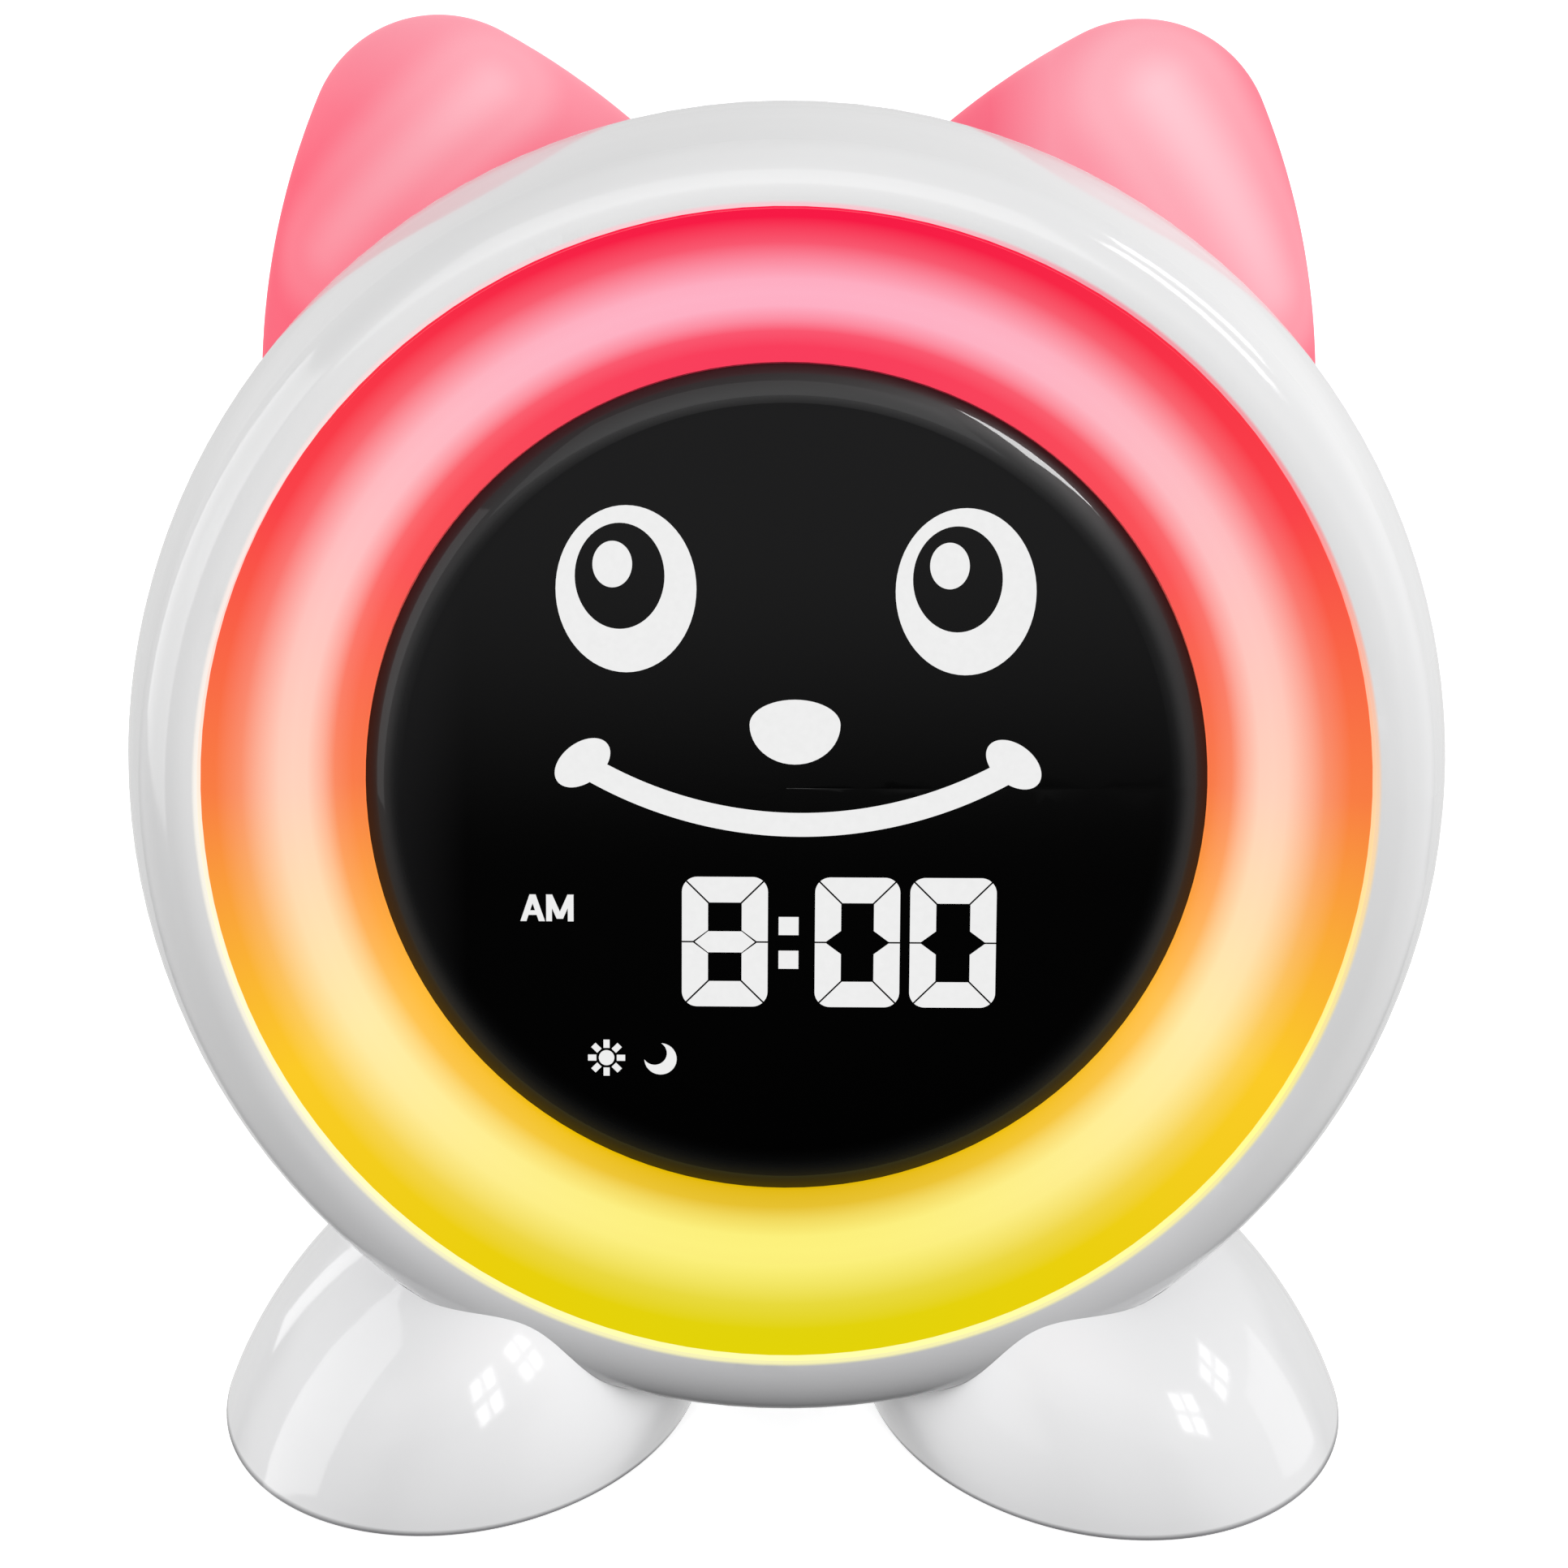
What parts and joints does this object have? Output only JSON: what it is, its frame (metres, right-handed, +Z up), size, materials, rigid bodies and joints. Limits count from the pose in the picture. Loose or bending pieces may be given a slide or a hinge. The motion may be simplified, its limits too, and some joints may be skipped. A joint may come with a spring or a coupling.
{
  "type": "kids alarm clock with night light",
  "caption": "Round-headed digital alarm clock with lit ring, lit ears, smoked face display and two dome feet, keys, speaker and battery door behind.",
  "frame": {"origin": "on the surface the clock stands on, under the middle of its overall box", "axes": "+Z up; -Y the way the face looks; +X to the right of someone who looks at the face"},
  "size_m": [0.13, 0.0755, 0.1376],
  "materials": {
    "shell_white": "gloss moulded ABS",
    "foot_white": "gloss moulded ABS",
    "door_white": "fine satin moulding",
    "sole_white": "fine satin moulding",
    "ring_opal": "satin opal diffuser, lit from behind",
    "ear_pink": "satin translucent pink, lit from inside",
    "lens_smoked": "polished smoked black",
    "film_print": "printed film",
    "inner_white": "matte white reflector",
    "board_green": "solder mask",
    "lamp_white": "lamp package",
    "chip_black": "moulded epoxy",
    "socket_cream": "moulded nylon",
    "cable_grey": "flat ribbon",
    "steel_bright": "plated steel",
    "steel_dark": "zinc plated",
    "cone_paper": "pressed cone",
    "pad_rubber": "soft matte",
    "battery_skin": "plain wrapped cell",
    "contact_nickel": "nickel plate",
    "knob_grey": "fine texture",
    "key_white": "fine satin moulding",
    "screw_zinc": "zinc plated"
  },
  "bodies": {
    "case": {"batteries": "battery_skin", "battery_plates": "contact_nickel", "battery_springs": "contact_nickel", "board_screws": "screw_zinc", "cable_sockets": "socket_cream", "display_cable": "cable_grey", "display_leds": "lamp_white", "display_lens": "lens_smoked", "ear_boards": "board_green", "ear_leds": "lamp_white", "ear_left": "ear_pink", "ear_right": "ear_pink", "foot_left": "foot_white", "foot_pads": "pad_rubber", "foot_right": "foot_white", "foot_screws": "screw_zinc", "front_shell": "shell_white", "led_board": "board_green", "led_drivers": "chip_black", "legend_film": "film_print", "light_frame": "inner_white", "light_ring": "ring_opal", "main_board": "board_green", "main_board_screws": "screw_zinc", "main_chips": "chip_black", "rear_shell": "shell_white", "ring_leds": "lamp_white", "shell_screws": "screw_zinc", "slide_switch": "chip_black", "sole_left": "sole_white", "sole_right": "sole_white", "sole_screws": "screw_zinc", "speaker_basket": "steel_bright", "speaker_cone": "cone_paper", "speaker_magnet": "steel_dark", "tact_switches": "chip_black", "usb_socket": "steel_bright"},
    "key_time": {"button_time": "key_white"},
    "key_alarm": {"button_alarm": "key_white"},
    "key_up": {"button_up": "key_white"},
    "key_down": {"button_down": "key_white"},
    "key_light": {"button_light": "key_white"},
    "key_sound": {"button_sound": "key_white"},
    "slider": {"switch_knob": "knob_grey"},
    "door": {"battery_door": "door_white", "door_screw": "screw_zinc"}
  },
  "joints": [
    {"name": "time_press", "type": "slide", "parent": "case", "child": "key_time", "axis": [0, -0.9837, 0.1797], "range_m": [0, 0.0008], "stiffness_N_per_m": 600, "springref_m": -0.0005},
    {"name": "alarm_press", "type": "slide", "parent": "case", "child": "key_alarm", "axis": [0, -0.9837, 0.1797], "range_m": [0, 0.0008], "stiffness_N_per_m": 600, "springref_m": -0.0005},
    {"name": "up_press", "type": "slide", "parent": "case", "child": "key_up", "axis": [0, -0.9837, 0.1797], "range_m": [0, 0.0008], "stiffness_N_per_m": 600, "springref_m": -0.0005},
    {"name": "down_press", "type": "slide", "parent": "case", "child": "key_down", "axis": [0, -0.9837, 0.1797], "range_m": [0, 0.0008], "stiffness_N_per_m": 600, "springref_m": -0.0005},
    {"name": "light_press", "type": "slide", "parent": "case", "child": "key_light", "axis": [0, -0.9837, 0.1797], "range_m": [0, 0.0008], "stiffness_N_per_m": 600, "springref_m": -0.0005},
    {"name": "sound_press", "type": "slide", "parent": "case", "child": "key_sound", "axis": [0, -0.9837, 0.1797], "range_m": [0, 0.0008], "stiffness_N_per_m": 600, "springref_m": -0.0005},
    {"name": "slider_travel", "type": "slide", "parent": "case", "child": "slider", "axis": [0, 0.1797, 0.9837], "range_m": [0, 0.004]},
    {"name": "door_lift", "type": "slide", "parent": "case", "child": "door", "axis": [0, 0.9837, -0.1797], "range_m": [0, 0.03]}
  ]
}
